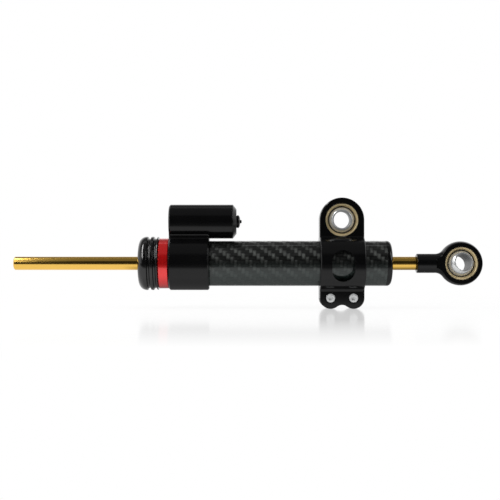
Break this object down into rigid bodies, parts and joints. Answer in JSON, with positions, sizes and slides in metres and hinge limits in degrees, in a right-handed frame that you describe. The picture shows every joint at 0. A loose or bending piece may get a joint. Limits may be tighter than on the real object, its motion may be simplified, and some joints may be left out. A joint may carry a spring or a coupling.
{
  "type": "steering damper",
  "caption": "Linear through-rod steering damper with carbon tube, valve block and reservoir, click adjuster knob, tube clamp and rod eye with spherical bearings.",
  "frame": {"origin": "centre of the clamp's ball, in the middle of its bolt bore", "axes": "+X along the damper's rod towards the rod eye, +Y along the frame bolt, +Z from the damper's tube up to the clamp's bearing"},
  "size_m": [0.2807, 0.033, 0.0662],
  "materials": {
    "black_anodised": "black anodised, satin",
    "red_anodised": "red anodised, satin",
    "gold_rod": "hard gold coating, polished",
    "carbon": "woven carbon under clear lacquer",
    "gold_race": "machined",
    "ball_steel": "polished",
    "screw_steel": "stainless",
    "seal_rubber": "smooth",
    "slide_ring": "filled PTFE",
    "bush_bronze": "turned",
    "spring_steel": "drawn wire",
    "bare_aluminium": "turned"
  },
  "bodies": {
    "cylinder": {"valve_block": "black_anodised", "reservoir_plug": "black_anodised", "plug_o_ring": "seal_rubber", "filler_screw": "black_anodised", "filler_seal": "seal_rubber", "detent_ring": "red_anodised", "ring_screws": "screw_steel", "detent_ball": "screw_steel", "detent_spring": "spring_steel", "stop_pin": "screw_steel", "left_bush": "bush_bronze", "left_rod_seal": "seal_rubber", "inner_cylinder": "bare_aluminium", "carbon_tube": "carbon", "tube_end_seals": "seal_rubber", "end_cap": "black_anodised", "end_cap_o_ring": "seal_rubber", "right_bush": "bush_bronze", "right_rod_seal": "seal_rubber", "right_wiper": "seal_rubber", "compensator_spring": "spring_steel"},
    "compensator": {"compensator_piston": "bare_aluminium", "compensator_o_ring": "seal_rubber"},
    "adjuster": {"adjuster_knob": "black_anodised", "knob_grub_screw": "screw_steel", "rotor": "bare_aluminium", "rotor_o_ring": "seal_rubber", "knob_wiper": "seal_rubber"},
    "piston": {"piston": "bare_aluminium", "piston_ring": "slide_ring", "piston_o_ring": "seal_rubber"},
    "rod": {"rod": "gold_rod", "rod_eye": "black_anodised", "piston_circlips": "spring_steel"},
    "eye_race": {"eye_race": "gold_race"},
    "eye_ball": {"eye_ball": "ball_steel"},
    "clamp": {"clamp": "black_anodised", "clamp_screws": "screw_steel"},
    "clamp_race": {"clamp_race": "gold_race"},
    "clamp_ball": {"clamp_ball": "ball_steel"}
  },
  "joints": [
    {"name": "rod_slide", "type": "slide", "parent": "cylinder", "child": "piston", "axis": [1, 0, 0], "range_m": [-0.0126, 0.0624]},
    {"name": "rod_turn", "type": "hinge", "parent": "piston", "child": "rod", "pos_m": [0, 0, -0.026], "axis": [1, 0, 0], "continuous": true},
    {"name": "eye_turn", "type": "hinge", "parent": "rod", "child": "eye_race", "pos_m": [0.0713, 0, -0.026], "axis": [0, 1, 0], "continuous": true},
    {"name": "eye_tilt", "type": "hinge", "parent": "eye_race", "child": "eye_ball", "pos_m": [0.0713, 0, -0.026], "axis": [-0.6293, 0, 0.7771], "range_deg": [-30, 0]},
    {"name": "adjuster_turn", "type": "hinge", "parent": "cylinder", "child": "adjuster", "pos_m": [0, 0, -0.026], "axis": [1, 0, 0], "range_deg": [0, 270]},
    {"name": "clamp_slide", "type": "slide", "parent": "cylinder", "child": "clamp", "axis": [1, 0, 0], "range_m": [-0.044, 0.011]},
    {"name": "clamp_bearing_turn", "type": "hinge", "parent": "clamp", "child": "clamp_race", "pos_m": [0, 0, 0], "axis": [0, 1, 0], "continuous": true},
    {"name": "clamp_bearing_tilt", "type": "hinge", "parent": "clamp_race", "child": "clamp_ball", "pos_m": [0, 0, 0], "axis": [0, 0, 1], "range_deg": [-14, 14]},
    {"name": "compensator_slide", "type": "slide", "parent": "cylinder", "child": "compensator", "axis": [1, 0, 0], "range_m": [-0.0022, 0.005], "stiffness_N_per_m": 400, "deforming": ["compensator_spring"]}
  ]
}
